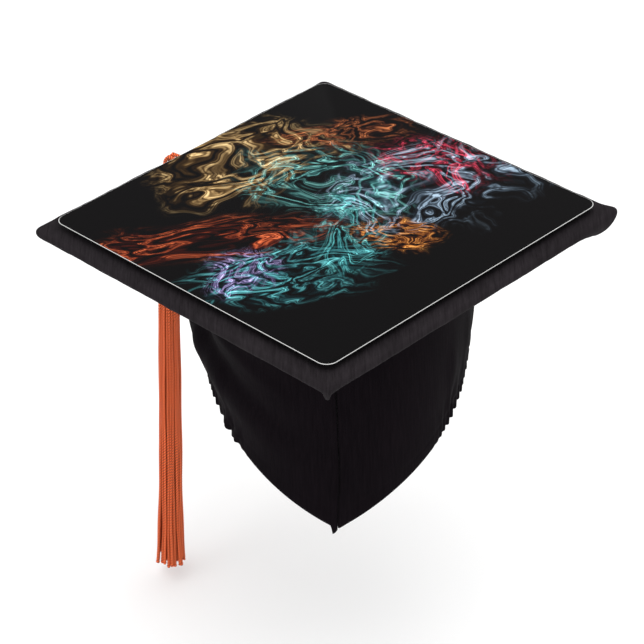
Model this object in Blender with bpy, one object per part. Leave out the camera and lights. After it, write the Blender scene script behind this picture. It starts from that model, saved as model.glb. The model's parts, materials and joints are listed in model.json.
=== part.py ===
"""Graduation cap: a cloth-covered square board on a soft crown, with a button,
a printed topper sheet held by hook-and-loop coins, and a corded tassel.

Metres, +Z up. The origin is the centre of the crown lining's underside, where
the top of the wearer's head rests. The wearer faces -Y, so the wearer's right
is -X. The board's corners point along X and Y.
"""

import math

import bmesh
import bpy
from mathutils import Matrix, Vector

# Fit shared by every pair of touching pieces
FIT_GAP = 0.0003

# Board: a stiff core in a cloth cover with a soft rolled edge
BOARD_SIDE = 0.2413
BOARD_CORNER_RADIUS = 0.004
CORE_THICKNESS = 0.0032
COVER_THICKNESS = 0.0010
COVER_EDGE_ROLL = 0.0022
COVER_SEAM_DRAW = 0.0001  # how far the crown's stitching draws the underside up

# Crown, the skull cap under the board
CROWN_WIDTH_TOP = 0.170
CROWN_WIDTH_RIM = 0.158
CROWN_FRONT_TOP = 0.104
CROWN_FRONT_RIM = 0.108
CROWN_BACK_TOP = 0.100
CROWN_BACK_RIM = 0.096
CROWN_SIDE_DEPTH = 0.082
CROWN_PEAK_DEPTH = 0.139
CROWN_PEAK_SPREAD = math.radians(95)
CROWN_PEAK_POWER = 1.25
CROWN_CLOTH = 0.0010

# Pieces inside the crown
LINING_THICKNESS = 0.0008
LINING_EDGE_RISE = 0.0004
BINDING_THICKNESS = 0.0010
BINDING_HEIGHT = 0.008
STIFFENER_THICKNESS = 0.0008
STIFFENER_END = math.radians(48)
SEAM_TAPE_THICKNESS = 0.0008
SEAM_TAPE_HALF_ANGLE = math.radians(3.5)
SWEATBAND_THICKNESS = 0.0010
SWEATBAND_WIDTH = 0.024
ELASTIC_THICKNESS = 0.0010
ELASTIC_WIDTH = 0.007
ELASTIC_START = math.radians(54)

# Button at the middle of the board, and the washer that backs it
SHANK_RADIUS = 0.0030
BUTTON_CAP_THICKNESS = 0.0008
BUTTON_CAP_OVERHANG = 0.0004
WASHER_RADIUS = 0.009
WASHER_THICKNESS = 0.0010

# Topper sheet and the coins that hold it
TOPPER_SIDE = 0.225
TOPPER_CORNER_RADIUS = 0.007
TOPPER_THICKNESS = 0.0008
COIN_RADIUS = 0.0095
COIN_FROM_EDGE = 0.022

# Tassel cord: one loop round the button, two legs over the board's edge
CORD_DIAMETER = 0.0026
CORD_LEG_SPACING = 0.0075
CORD_LOOP_SLACK = 0.0013
CORD_EDGE_CLEARANCE = 0.0022
CORD_EDGE_BEND = 0.0058
CORD_EDGE_OFFSET = 0.012
CORD_DROP = 0.058
LOOP_ARC_START = math.radians(80)
LOOP_ARC_SWEEP = math.radians(200)
LOOP_OPENING = 1.9  # where the two legs start to part for the loop, in loop radii

# Tassel
KNOT_RADIUS = 0.0040
KNOT_HALF_HEIGHT = 0.0034
HEAD_RADIUS = 0.0068
HEAD_LENGTH = 0.018
HEAD_OUTLINE = ((0.45, 0.0), (0.82, 0.1), (1.0, 0.3), (1.0, 0.6), (0.93, 0.85))  # shares of radius, length
NECK_RADIUS = 0.0060
NECK_LENGTH = 0.008
NECK_BULGE = 0.0003
SKIRT_LENGTH = 0.229
SKIRT_RADIUS_TOP = 0.0066
SKIRT_RADIUS_MIDDLE = 0.0080
SKIRT_RADIUS_BOTTOM = 0.0098
SKIRT_TOP_SHARE = 0.05
SKIRT_MIDDLE_SHARE = 0.55

# Facets
ROUND_SEGMENTS = 32
COIN_SEGMENTS = 24
TASSEL_SEGMENTS = 20
KNOT_SEGMENTS = 16
CROWN_STEP = math.radians(6)
SQUARE_CORNER_POINTS = 5
SQUARE_SIDE_POINTS = 4
CORD_POINT_SPACING = 0.0062

# Heights, from the lining up to the topper
WASHER_BOTTOM = LINING_THICKNESS + FIT_GAP
COVER_BOTTOM = WASHER_BOTTOM + WASHER_THICKNESS + FIT_GAP
CORE_BOTTOM = COVER_BOTTOM + COVER_THICKNESS + FIT_GAP
CORE_TOP = CORE_BOTTOM + CORE_THICKNESS
COVER_TOP = CORE_TOP + FIT_GAP + COVER_THICKNESS
COVER_MIDDLE = (COVER_BOTTOM + COVER_TOP) / 2
CORD_HEIGHT = COVER_TOP + FIT_GAP + CORD_DIAMETER / 2
BUTTON_CAP_BOTTOM = COVER_TOP + CORD_DIAMETER + 2 * FIT_GAP
TOPPER_BOTTOM = BUTTON_CAP_BOTTOM + BUTTON_CAP_THICKNESS + FIT_GAP
COIN_THICKNESS = (TOPPER_BOTTOM - COVER_TOP - 3 * FIT_GAP) / 2
CROWN_TOP = COVER_BOTTOM - FIT_GAP
CROWN_CLEAR_RADIUS = (max(CROWN_FRONT_TOP, CROWN_BACK_TOP, CROWN_WIDTH_TOP / 2) + BOARD_SIDE / 2) / 2

# Places on the board and along the tassel
SHANK_HOLE_RADIUS = SHANK_RADIUS + FIT_GAP
CORD_LOOP_RADIUS = SHANK_RADIUS + CORD_LOOP_SLACK + CORD_DIAMETER / 2
BUTTON_CAP_RADIUS = CORD_LOOP_RADIUS + CORD_DIAMETER / 2 + BUTTON_CAP_OVERHANG
COIN_OFFSET = TOPPER_SIDE / 2 - COIN_FROM_EDGE
CORD_LEAN = math.atan2(CORD_EDGE_OFFSET, BOARD_SIDE / 2)
CORD_DIRECTION = math.radians(135) + CORD_LEAN
CORD_REACH = (BOARD_SIDE / 2 + CORD_EDGE_CLEARANCE + CORD_DIAMETER / 2) / math.cos(CORD_LEAN)
BEND_CENTRE_REACH = CORD_REACH - CORD_EDGE_BEND
BEND_CENTRE_HEIGHT = CORD_HEIGHT - CORD_EDGE_BEND
KNOT_HEIGHT = CORD_HEIGHT - CORD_DROP
HEAD_TOP = KNOT_HEIGHT - KNOT_HALF_HEIGHT - FIT_GAP
NECK_TOP = HEAD_TOP - HEAD_LENGTH - FIT_GAP
SKIRT_TOP = NECK_TOP - NECK_LENGTH - FIT_GAP


def clear_scene():
    for obj in list(bpy.data.objects):
        bpy.data.objects.remove(obj, do_unlink=True)


def make_material(name, colour, roughness, metallic=0.0):
    material = bpy.data.materials.new(name)
    material.use_nodes = True
    shader = material.node_tree.nodes["Principled BSDF"]
    shader.inputs["Base Color"].default_value = (*colour, 1.0)
    shader.inputs["Roughness"].default_value = roughness
    shader.inputs["Metallic"].default_value = metallic
    return material


def add_empty(name, place, parent=None):
    """A joint's axis, which the pieces that turn or slide on it are parented to."""
    empty = bpy.data.objects.new(name, None)
    bpy.context.collection.objects.link(empty)
    empty.location = place
    attach(empty, parent)
    return empty


def attach(obj, parent):
    """Parents an object and keeps its place in the world."""
    if parent is None:
        return
    bpy.context.view_layer.update()
    obj.parent = parent
    obj.matrix_parent_inverse = parent.matrix_world.inverted()


def add_piece(name, mesh, material, parent=None):
    obj = bpy.data.objects.new(name, mesh)
    mesh.materials.append(material)
    bpy.context.collection.objects.link(obj)
    attach(obj, parent)
    return obj


def finish_mesh(name, bm, sharp_angle=math.radians(40)):
    """Turns a bmesh into a mesh with its faces outwards and its round sides smooth."""
    bmesh.ops.recalc_face_normals(bm, faces=bm.faces)
    mesh = bpy.data.meshes.new(name)
    bm.to_mesh(mesh)
    bm.free()
    mesh.shade_smooth()
    mesh.set_sharp_from_angle(angle=sharp_angle)
    return mesh


def square_ring(side, corner_radius, height):
    """Points round a rounded square whose corners point along X and Y."""
    quarter = []
    inset = side / 2 - corner_radius
    for step in range(SQUARE_CORNER_POINTS):
        angle = math.radians(90) * step / (SQUARE_CORNER_POINTS - 1)
        corner = Vector((math.cos(angle), math.sin(angle))) * corner_radius
        quarter.append(Vector((inset, inset)) + corner)
    for step in range(1, SQUARE_SIDE_POINTS + 1):
        along = inset - 2 * inset * step / (SQUARE_SIDE_POINTS + 1)
        quarter.append(Vector((along, side / 2)))
    ring = []
    for turn in range(4):
        spin = Matrix.Rotation(math.radians(90 * turn - 45), 2)
        for point in quarter:
            flat = spin @ point
            ring.append((flat.x, flat.y, height))
    return ring


def circle_ring(radius, like, height):
    """Points round a circle, each facing the same way as its partner in another ring."""
    ring = []
    for x, y, _ in like:
        stretch = radius / math.hypot(x, y)
        ring.append((x * stretch, y * stretch, height))
    return ring


def lofted_mesh(name, rings, joined_ends=False):
    """A closed solid through rings of points, either capped or joined end to start."""
    bm = bmesh.new()
    loops = [[bm.verts.new(point) for point in ring] for ring in rings]
    spans = list(zip(loops, loops[1:]))
    if joined_ends:
        spans.append((loops[-1], loops[0]))
    else:
        bm.faces.new(loops[0])
        bm.faces.new(loops[-1])
    for first, second in spans:
        for i in range(len(first)):
            j = (i + 1) % len(first)
            bm.faces.new((first[i], first[j], second[j], second[i]))
    return finish_mesh(name, bm)


def disc_mesh(name, radius, bottom, top, hole_radius=0.0, segments=ROUND_SEGMENTS):
    """A flat disc, with a round hole when one is asked for."""
    around = [math.tau * i / segments for i in range(segments)]
    outer = [(radius * math.cos(a), radius * math.sin(a), 0.0) for a in around]
    rings = [circle_ring(radius, outer, bottom), circle_ring(radius, outer, top)]
    if hole_radius > 0:
        rings.append(circle_ring(hole_radius, outer, top))
        rings.append(circle_ring(hole_radius, outer, bottom))
    return lofted_mesh(name, rings, joined_ends=hole_radius > 0)


def turned_piece(name, profile, material, parent, segments):
    """A piece turned on the tassel's upright axis; the profile runs down its outer side."""
    mesh = bpy.data.meshes.new(name)
    points = [(radius, 0.0, height) for radius, height in profile]
    edges = [(i, i + 1) for i in range(len(points) - 1)]
    mesh.from_pydata(points, edges, [])
    obj = add_piece(name, mesh, material)
    obj.location = on_cord(CORD_REACH, 0.0, 0.0)
    screw = obj.modifiers.new("Turn", "SCREW")
    screw.steps = segments
    screw.render_steps = segments
    screw.use_merge_vertices = True
    screw.merge_threshold = 0.00001
    screw.use_smooth_shade = True
    attach(obj, parent)
    return obj


def on_cord(reach, side, height):
    """A point in the cord's own frame: out from the button, across the two legs, and up."""
    c = math.cos(CORD_DIRECTION)
    s = math.sin(CORD_DIRECTION)
    return Vector((reach * c - side * s, reach * s + side * c, height))


def smooth_route(points, spacing=CORD_POINT_SPACING):
    """Evenly spaced points on a Catmull-Rom curve through the route's own points."""
    points = [Vector(p) for p in points]
    ends = [2 * points[0] - points[1], *points, 2 * points[-1] - points[-2]]
    fine = []
    fine_steps = 24
    for p0, p1, p2, p3 in zip(ends, ends[1:], ends[2:], ends[3:]):
        for step in range(fine_steps):
            t = step / fine_steps
            fine.append(
                0.5 * (2 * p1 + (p2 - p0) * t + (2 * p0 - 5 * p1 + 4 * p2 - p3) * t * t
                       + (3 * p1 - p0 - 3 * p2 + p3) * t ** 3)
            )
    fine.append(points[-1])
    lengths = [0.0]
    for a, b in zip(fine, fine[1:]):
        lengths.append(lengths[-1] + (b - a).length)
    count = max(2, round(lengths[-1] / spacing))
    route = []
    index = 0
    for step in range(count + 1):
        wanted = lengths[-1] * step / count
        while index < len(lengths) - 2 and lengths[index + 1] < wanted:
            index += 1
        span = lengths[index + 1] - lengths[index]
        route.append(fine[index].lerp(fine[index + 1], (wanted - lengths[index]) / span))
    return route


def cord_piece(name, route, material, parent):
    """A round cord along a route, with flat ends."""
    curve = bpy.data.curves.new(name, "CURVE")
    curve.dimensions = "3D"
    curve.bevel_depth = CORD_DIAMETER / 2
    curve.bevel_resolution = 2
    curve.use_fill_caps = True
    spline = curve.splines.new("POLY")
    spline.points.add(len(route) - 1)
    for point, place in zip(spline.points, route):
        point.co = (*place, 1.0)
    spline.use_smooth = True
    return add_piece(name, curve, material, parent)


def rim_depth(angle):
    """How far below the board the crown's rim lies, at an angle from the centre front."""
    away = min(abs(angle), math.tau - abs(angle)) / CROWN_PEAK_SPREAD
    peak = max(0.0, 1.0 - away) ** CROWN_PEAK_POWER
    return CROWN_SIDE_DEPTH + (CROWN_PEAK_DEPTH - CROWN_SIDE_DEPTH) * peak


def crown_point(angle, depth, inset):
    """A point on an oval wall that lies inset from the crown's outer face."""
    down = min(1.0, depth / CROWN_SIDE_DEPTH)
    width = CROWN_WIDTH_TOP / 2 + (CROWN_WIDTH_RIM - CROWN_WIDTH_TOP) / 2 * down
    if math.cos(angle) > 0:
        down = depth / CROWN_PEAK_DEPTH
        length = CROWN_FRONT_TOP + (CROWN_FRONT_RIM - CROWN_FRONT_TOP) * down
    else:
        length = CROWN_BACK_TOP + (CROWN_BACK_RIM - CROWN_BACK_TOP) * down
    x = (width - inset) * math.sin(angle)
    y = -(length - inset) * math.cos(angle)
    return (x, y, CROWN_TOP - depth)


def wall_mesh(name, start, end, inset, thickness, top_depth, bottom_depth, rows):
    """A curved wall of cloth between two angles and two depths, each depth a function
    of the angle."""
    columns = max(2, round((end - start) / CROWN_STEP))
    bm = bmesh.new()
    faces = []
    for layer in (inset, inset + thickness):
        grid = []
        for i in range(columns + 1):
            angle = start + (end - start) * i / columns
            top = top_depth(angle)
            bottom = bottom_depth(angle)
            column = []
            for j in range(rows + 1):
                depth = top + (bottom - top) * j / rows
                column.append(bm.verts.new(crown_point(angle, depth, layer)))
            grid.append(column)
        faces.append(grid)
    for grid in faces:
        for left, right in zip(grid, grid[1:]):
            for j in range(rows):
                bm.faces.new((left[j], right[j], right[j + 1], left[j + 1]))
    outer, inner = faces
    for i in range(columns):
        for j in (0, rows):
            bm.faces.new((outer[i][j], outer[i + 1][j], inner[i + 1][j], inner[i][j]))
    for i in (0, columns):
        for j in range(rows):
            bm.faces.new((outer[i][j], outer[i][j + 1], inner[i][j + 1], inner[i][j]))
    return finish_mesh(name, bm)


def oval_ring(inset, depth):
    """Points all the way round the crown at one depth; above its top it keeps the top's oval."""
    steps = round(math.tau / CROWN_STEP)
    ring = []
    for i in range(steps):
        x, y, _ = crown_point(math.tau * i / steps, max(0.0, depth), inset)
        ring.append((x, y, CROWN_TOP - depth))
    return ring


def make_board():
    """A stiff core between two cloth covers that meet round the middle of its edge."""
    cloth = make_material("board_cloth", (0.022, 0.019, 0.022), 0.85)
    card = make_material("core_card", (0.36, 0.30, 0.22), 0.90)
    roll_steps = 4

    def cover(name, face, seam_draw=0.0):
        """The rolled edge from the middle out to the face, the flat face in past the
        crown's seam to the hole, and back along the inside."""
        sign = 1 if face > COVER_MIDDLE else -1
        lip = COVER_MIDDLE + sign * FIT_GAP / 2
        inner_side = BOARD_SIDE - 2 * COVER_THICKNESS
        rings = [square_ring(inner_side, BOARD_CORNER_RADIUS - COVER_THICKNESS, lip),
                 square_ring(BOARD_SIDE, BOARD_CORNER_RADIUS, lip)]
        for step in range(roll_steps + 1):
            turn = math.radians(90) * step / roll_steps
            inward = COVER_EDGE_ROLL * (1 - math.cos(turn))
            height = face - sign * COVER_EDGE_ROLL * (1 - math.sin(turn))
            rings.append(square_ring(BOARD_SIDE - 2 * inward, BOARD_CORNER_RADIUS, height))
        flat = rings[-1]
        rings.append(circle_ring(CROWN_CLEAR_RADIUS, flat, face))
        rings.append(circle_ring(SHANK_HOLE_RADIUS, flat, face + seam_draw))
        inner_face = face - sign * COVER_THICKNESS
        rings.append(circle_ring(SHANK_HOLE_RADIUS, flat, inner_face))
        inner_roll = COVER_EDGE_ROLL - COVER_THICKNESS
        for step in range(roll_steps + 1):
            turn = math.radians(90) * (1 - step / roll_steps)
            inward = COVER_THICKNESS + inner_roll * (1 - math.cos(turn))
            height = inner_face - sign * inner_roll * (1 - math.sin(turn))
            rings.append(square_ring(BOARD_SIDE - 2 * inward, BOARD_CORNER_RADIUS, height))
        return add_piece(name, lofted_mesh(name, rings, joined_ends=True), cloth)

    cover("board_cover_top", COVER_TOP)
    cover("board_cover_bottom", COVER_BOTTOM, COVER_SEAM_DRAW)

    core_side = BOARD_SIDE - 2 * (COVER_THICKNESS + FIT_GAP)
    ease = COVER_EDGE_ROLL - COVER_THICKNESS
    flat_side = core_side - 2 * ease
    heights = ((CORE_BOTTOM, flat_side), (CORE_BOTTOM + ease, core_side),
               (CORE_TOP - ease, core_side), (CORE_TOP, flat_side))
    rings = [square_ring(side, BOARD_CORNER_RADIUS, height) for height, side in heights]
    rings.append(circle_ring(SHANK_HOLE_RADIUS, rings[-1], CORE_TOP))
    rings.append(circle_ring(SHANK_HOLE_RADIUS, rings[0], CORE_BOTTOM))
    add_piece("board_core", lofted_mesh("board_core", rings, joined_ends=True), card)


def make_button():
    """The covered button, its shank through the board, and the washer that backs it."""
    cloth = make_material("button_cloth", (0.02, 0.018, 0.02), 0.8)
    steel = make_material("button_steel", (0.55, 0.55, 0.57), 0.35, metallic=1.0)
    cap_top = BUTTON_CAP_BOTTOM + BUTTON_CAP_THICKNESS
    cap = disc_mesh("button_cap", BUTTON_CAP_RADIUS, BUTTON_CAP_BOTTOM, cap_top)
    add_piece("button_cap", cap, cloth)
    shank_bottom = WASHER_BOTTOM + WASHER_THICKNESS + FIT_GAP
    shank = disc_mesh("button_shank", SHANK_RADIUS, shank_bottom, BUTTON_CAP_BOTTOM - FIT_GAP)
    add_piece("button_shank", shank, steel)
    washer_top = WASHER_BOTTOM + WASHER_THICKNESS
    washer = disc_mesh("button_washer", WASHER_RADIUS, WASHER_BOTTOM, washer_top)
    add_piece("button_washer", washer, steel)


def make_topper(lift):
    """The printed sheet, with a hook coin under each corner and a loop coin on the board."""
    printed = make_material("topper_print", (0.02, 0.02, 0.022), 0.45)
    hook = make_material("hook_nylon", (0.03, 0.03, 0.03), 0.6)
    loop = make_material("loop_nylon", (0.05, 0.05, 0.05), 0.95)
    top = TOPPER_BOTTOM + TOPPER_THICKNESS
    rings = [square_ring(TOPPER_SIDE, TOPPER_CORNER_RADIUS, z) for z in (TOPPER_BOTTOM, top)]
    add_piece("topper_sheet", lofted_mesh("topper_sheet", rings), printed, lift)
    loop_bottom = COVER_TOP + FIT_GAP
    hook_bottom = loop_bottom + COIN_THICKNESS + FIT_GAP
    for corner, turn in (("left", 0), ("back", 90), ("right", 180), ("front", 270)):
        out = COIN_OFFSET * math.sqrt(2)
        angle = math.radians(turn)
        place = (out * math.cos(angle), out * math.sin(angle), 0.0)
        for kind, material, bottom, parent in (("hook", hook, hook_bottom, lift),
                                               ("loop", loop, loop_bottom, None)):
            name = f"{kind}_coin_{corner}"
            coin_top = bottom + COIN_THICKNESS
            mesh = disc_mesh(name, COIN_RADIUS, bottom, coin_top, segments=COIN_SEGMENTS)
            coin = add_piece(name, mesh, material)
            coin.location = place
            attach(coin, parent)


def make_crown():
    """Two cloth halves sewn at the centre front and back, and what lies inside them."""
    cloth = make_material("crown_cloth", (0.012, 0.010, 0.012), 0.9)
    lining = make_material("lining_cloth", (0.03, 0.03, 0.032), 0.7)
    buckram = make_material("buckram", (0.55, 0.52, 0.45), 0.9)
    band = make_material("sweatband_cloth", (0.04, 0.04, 0.042), 0.8)
    rubber = make_material("elastic_knit", (0.06, 0.06, 0.06), 0.85)
    peak_rows = 10

    def top(angle):
        return 0.0

    seam_front = FIT_GAP / 2 / CROWN_FRONT_TOP
    seam_back = FIT_GAP / 2 / CROWN_BACK_RIM
    for side, start, end in (("left", seam_front, math.pi - seam_back),
                             ("right", math.pi + seam_back, math.tau - seam_front)):
        name = f"crown_panel_{side}"
        mesh = wall_mesh(name, start, end, 0.0, CROWN_CLOTH, top, rim_depth, peak_rows)
        add_piece(name, mesh, cloth)

    inside = CROWN_CLOTH + FIT_GAP
    clear_of_binding = inside + BINDING_THICKNESS + 2 * FIT_GAP
    lining_rings = [oval_ring(clear_of_binding, CROWN_TOP),
                    oval_ring(inside, CROWN_TOP - LINING_EDGE_RISE),
                    oval_ring(inside, CROWN_TOP - LINING_THICKNESS)]
    add_piece("crown_lining", lofted_mesh("crown_lining", lining_rings), lining)

    binding_top = CROWN_TOP + FIT_GAP
    binding_bottom = binding_top + BINDING_HEIGHT
    binding_rings = [oval_ring(inside, binding_top),
                     oval_ring(inside, binding_bottom),
                     oval_ring(inside + BINDING_THICKNESS, binding_bottom),
                     oval_ring(inside + BINDING_THICKNESS, binding_top)]
    binding = lofted_mesh("crown_seam_binding", binding_rings, joined_ends=True)
    add_piece("crown_seam_binding", binding, lining)

    def below_binding(angle):
        return binding_bottom + FIT_GAP

    def rim(angle):
        return rim_depth(angle) - FIT_GAP

    def above_elastic(angle):
        return rim_depth(angle) - ELASTIC_WIDTH - 2 * FIT_GAP

    tape = SEAM_TAPE_HALF_ANGLE
    clear = FIT_GAP / CROWN_FRONT_TOP
    front_tape = wall_mesh("front_seam_tape", -tape, tape, inside, SEAM_TAPE_THICKNESS,
                           below_binding, rim, peak_rows)
    add_piece("front_seam_tape", front_tape, band)
    back_tape = wall_mesh("back_seam_tape", math.pi - tape, math.pi + tape, inside,
                          SEAM_TAPE_THICKNESS, below_binding, above_elastic, 4)
    add_piece("back_seam_tape", back_tape, band)
    for side, start, end in (("left", tape + clear, STIFFENER_END),
                             ("right", -STIFFENER_END, -tape - clear)):
        name = f"front_stiffener_{side}"
        mesh = wall_mesh(name, start, end, inside, STIFFENER_THICKNESS, below_binding, rim, 6)
        add_piece(name, mesh, buckram)

    band_inset = inside + max(STIFFENER_THICKNESS, SEAM_TAPE_THICKNESS) + FIT_GAP

    def band_top(angle):
        return rim_depth(angle) - SWEATBAND_WIDTH

    sweatband = wall_mesh("front_sweatband", -STIFFENER_END, STIFFENER_END, band_inset,
                          SWEATBAND_THICKNESS, band_top, rim, 3)
    add_piece("front_sweatband", sweatband, band)

    def elastic_top(angle):
        return rim_depth(angle) - ELASTIC_WIDTH - FIT_GAP

    elastic = wall_mesh("elastic_band", ELASTIC_START, math.tau - ELASTIC_START, inside,
                        ELASTIC_THICKNESS, elastic_top, rim, 2)
    add_piece("elastic_band", elastic, rubber)


def make_cord(turn, swing):
    """The cord loops round the button, lies along the board and bends down over its edge."""
    rayon = make_material("tassel_rayon", (0.62, 0.07, 0.02), 0.55)
    half = CORD_LEG_SPACING / 2
    radius = CORD_LOOP_RADIUS
    ease = LOOP_OPENING * radius
    leg_end = BEND_CENTRE_REACH - FIT_GAP / 2
    one_side = [(leg_end, half), (0.7 * leg_end, half), (0.4 * leg_end, half), (2 * ease, half),
                (ease, 0.5 * (half + radius))]
    loop_steps = 10
    arc = [LOOP_ARC_START + LOOP_ARC_SWEEP * i / loop_steps for i in range(loop_steps + 1)]
    half_loop = [(radius * math.cos(angle), radius * math.sin(angle)) for angle in arc]
    other_side = [(reach, -side) for reach, side in reversed(one_side)]
    flat = one_side + half_loop + other_side
    loop = smooth_route([on_cord(reach, side, CORD_HEIGHT) for reach, side in flat])
    cord_piece("cord_loop", loop, rayon, turn)

    trim = FIT_GAP / 2 / CORD_EDGE_BEND
    bend_steps = 5
    drop_top = BEND_CENTRE_HEIGHT - FIT_GAP / 2
    drop_bottom = KNOT_HEIGHT + KNOT_HALF_HEIGHT + FIT_GAP
    close = (CORD_DIAMETER + FIT_GAP) / 2
    drop_shape = ((0.0, half), (0.25, half), (0.55, 0.85 * half + 0.15 * close),
                  (0.85, 0.2 * half + 0.8 * close), (1.0, close))
    for side, sign in (("left", -1), ("right", 1)):
        bend = []
        for step in range(bend_steps + 1):
            angle = math.radians(90) - trim - (math.radians(90) - 2 * trim) * step / bend_steps
            bend.append(on_cord(BEND_CENTRE_REACH + CORD_EDGE_BEND * math.cos(angle), sign * half,
                                BEND_CENTRE_HEIGHT + CORD_EDGE_BEND * math.sin(angle)))
        cord_piece(f"cord_bend_{side}", bend, rayon, turn)
        drop = [on_cord(CORD_REACH, sign * across, drop_top + (drop_bottom - drop_top) * down)
                for down, across in drop_shape]
        cord_piece(f"cord_drop_{side}", smooth_route(drop), rayon, swing)
    return rayon


def make_tassel(rayon, swing, sway):
    """The knot on the cord, and below it the tassel's head, neck binding and skirt."""
    knot_steps = 8
    knot = []
    for step in range(knot_steps + 1):
        angle = math.radians(90 - 180 * step / knot_steps)
        across = 0.0 if step in (0, knot_steps) else KNOT_RADIUS * math.cos(angle)
        knot.append((across, KNOT_HEIGHT + KNOT_HALF_HEIGHT * math.sin(angle)))
    turned_piece("cord_knot", knot, rayon, swing, KNOT_SEGMENTS)

    head_bottom = HEAD_TOP - HEAD_LENGTH
    head = [(0.0, HEAD_TOP)]
    for wide, down in HEAD_OUTLINE:
        head.append((wide * HEAD_RADIUS, HEAD_TOP - down * HEAD_LENGTH))
    head += [(NECK_RADIUS, head_bottom), (0.0, head_bottom)]
    turned_piece("tassel_head", head, rayon, sway, TASSEL_SEGMENTS)

    neck_bottom = NECK_TOP - NECK_LENGTH
    neck_middle = (NECK_TOP + neck_bottom) / 2
    neck = [(0.0, NECK_TOP), (NECK_RADIUS, NECK_TOP), (NECK_RADIUS + NECK_BULGE, neck_middle),
            (NECK_RADIUS, neck_bottom), (0.0, neck_bottom)]
    turned_piece("tassel_neck_binding", neck, rayon, sway, TASSEL_SEGMENTS)

    skirt_bottom = SKIRT_TOP - SKIRT_LENGTH
    skirt = [(0.0, SKIRT_TOP), (NECK_RADIUS, SKIRT_TOP),
             (SKIRT_RADIUS_TOP, SKIRT_TOP - SKIRT_TOP_SHARE * SKIRT_LENGTH),
             (SKIRT_RADIUS_MIDDLE, SKIRT_TOP - SKIRT_MIDDLE_SHARE * SKIRT_LENGTH),
             (SKIRT_RADIUS_BOTTOM, skirt_bottom), (0.0, skirt_bottom)]
    turned_piece("tassel_skirt", skirt, rayon, sway, TASSEL_SEGMENTS)


clear_scene()
topper_lift = add_empty("topper_lift_axis", (0.0, 0.0, TOPPER_BOTTOM))
cord_turn = add_empty("cord_turn_axis", (0.0, 0.0, CORD_HEIGHT))
bend_centre = on_cord(BEND_CENTRE_REACH, 0.0, BEND_CENTRE_HEIGHT)
tassel_swing = add_empty("tassel_swing_axis", bend_centre, cord_turn)
tassel_sway = add_empty("tassel_sway_axis", on_cord(CORD_REACH, 0.0, KNOT_HEIGHT), tassel_swing)
make_board()
make_button()
make_topper(topper_lift)
make_crown()
tassel_rayon = make_cord(cord_turn, tassel_swing)
make_tassel(tassel_rayon, tassel_swing, tassel_sway)
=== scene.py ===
import json
import math

import bpy
import numpy as np
from mathutils import Matrix, Vector


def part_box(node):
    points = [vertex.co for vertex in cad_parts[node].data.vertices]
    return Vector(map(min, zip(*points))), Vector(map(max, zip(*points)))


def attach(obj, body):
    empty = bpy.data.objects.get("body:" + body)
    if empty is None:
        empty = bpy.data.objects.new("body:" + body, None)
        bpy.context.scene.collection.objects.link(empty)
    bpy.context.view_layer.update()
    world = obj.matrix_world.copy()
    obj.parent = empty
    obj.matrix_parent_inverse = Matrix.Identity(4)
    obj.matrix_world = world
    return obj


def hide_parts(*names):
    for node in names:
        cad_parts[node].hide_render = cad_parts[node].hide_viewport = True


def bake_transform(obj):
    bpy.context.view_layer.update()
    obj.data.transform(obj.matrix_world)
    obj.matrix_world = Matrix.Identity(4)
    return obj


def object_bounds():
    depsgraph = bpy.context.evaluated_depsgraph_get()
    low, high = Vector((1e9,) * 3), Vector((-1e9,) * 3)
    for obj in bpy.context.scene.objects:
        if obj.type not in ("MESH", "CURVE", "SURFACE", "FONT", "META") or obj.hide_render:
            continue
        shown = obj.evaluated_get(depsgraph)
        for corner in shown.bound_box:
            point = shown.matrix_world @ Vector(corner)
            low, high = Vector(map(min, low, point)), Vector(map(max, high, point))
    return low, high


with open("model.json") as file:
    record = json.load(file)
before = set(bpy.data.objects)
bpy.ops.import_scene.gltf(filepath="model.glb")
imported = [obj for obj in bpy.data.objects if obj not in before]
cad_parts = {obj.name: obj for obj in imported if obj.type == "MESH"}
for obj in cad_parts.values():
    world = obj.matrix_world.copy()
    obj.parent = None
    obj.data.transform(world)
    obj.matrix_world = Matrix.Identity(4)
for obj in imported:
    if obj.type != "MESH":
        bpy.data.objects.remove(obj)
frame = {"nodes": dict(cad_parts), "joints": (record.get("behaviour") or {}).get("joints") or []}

cad_box = [list(map(float, corner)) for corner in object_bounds()]


# ---- Studio ----
# A pale floor under the hanging tassel, a bright even room, and a wide soft box
# above and in front of the cap. The camera looks down on the front corner.

CAMERA_AIM = (-0.0046, 0.0, -0.0641)
CAMERA_DISTANCE = 1.541
CAMERA_TURN = math.radians(-0.975)
CAMERA_DOWN = math.radians(33.825)
CAMERA_ROLL = math.radians(-2.269)
CAMERA_LENS = 143.43
FLOOR_GAP = 0.012
FLOOR_HALF = 4.0
ROOM_LIGHT = 0.95
SOFT_BOXES = (("soft_box_above", (0.1, -0.5, 1.7), 1.6, 22.0),
              ("soft_box_left", (-1.6, -0.9, 0.7), 1.0, 3.5))


def linear(colour):
    """An sRGB hex colour as linear red, green, blue and 1 for alpha."""
    shares = [int(colour[i:i + 2], 16) / 255 for i in (1, 3, 5)]
    return [*(s / 12.92 if s <= 0.04045 else ((s + 0.055) / 1.055) ** 2.4 for s in shares), 1.0]


def add(tree, kind, inputs=None, out=0, **settings):
    """Adds a shader node and returns its output. settings are the node's own properties;
    each input is a value, or the output that feeds it."""
    made = tree.nodes.new("ShaderNode" + kind)
    for name, value in settings.items():
        setattr(made, name, value)
    for key, value in (inputs or {}).items():
        if isinstance(value, bpy.types.NodeSocket):
            tree.links.new(value, made.inputs[key])
        else:
            made.inputs[key].default_value = value
    return made.outputs[out]


def new_material(name, **values):
    """A Principled material; values set the shader's own sockets, with _ for a space."""
    material = bpy.data.materials.new(name)
    material.use_nodes = True
    shader = material.node_tree.nodes["Principled BSDF"]
    for key, value in values.items():
        shader.inputs[key.replace("_", " ")].default_value = value
    return material, material.node_tree, shader


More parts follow.
